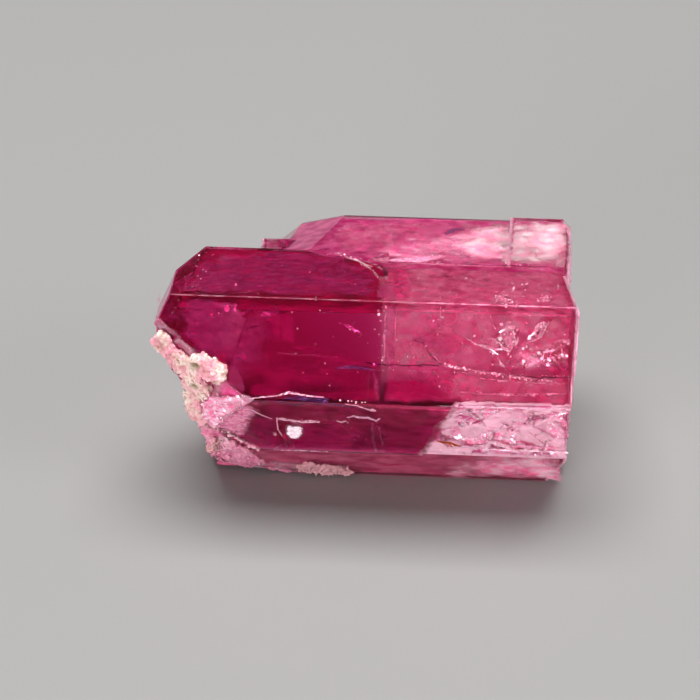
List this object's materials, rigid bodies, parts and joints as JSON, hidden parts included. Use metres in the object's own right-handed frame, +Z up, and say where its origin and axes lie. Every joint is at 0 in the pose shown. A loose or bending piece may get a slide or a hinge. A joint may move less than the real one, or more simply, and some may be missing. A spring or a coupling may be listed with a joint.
{
  "type": "red beryl crystal",
  "caption": "Loose red beryl crystal, hexagonal prisms grown side by side, see-through crimson to pink, with a pale rock crust at one end.",
  "frame": {"origin": "bottom centre of the whole, on the prism face that the crystal rests on", "axes": "+X along the crystals' six-sided axis, towards the pale clean-ended side; +Y from the front crystal to the rear one; +Z up"},
  "size_m": [0.0108, 0.0078, 0.006],
  "materials": {
    "beryl": "clear crimson to pink crystal, glossy growth faces, frosted breaks",
    "rhyolite_crust": "dull cream weathered rhyolite"
  },
  "bodies": {
    "root": {"red_beryl_crystal": "beryl", "matrix_crust_left": "rhyolite_crust", "matrix_crust_under": "rhyolite_crust"}
  },
  "joints": []
}
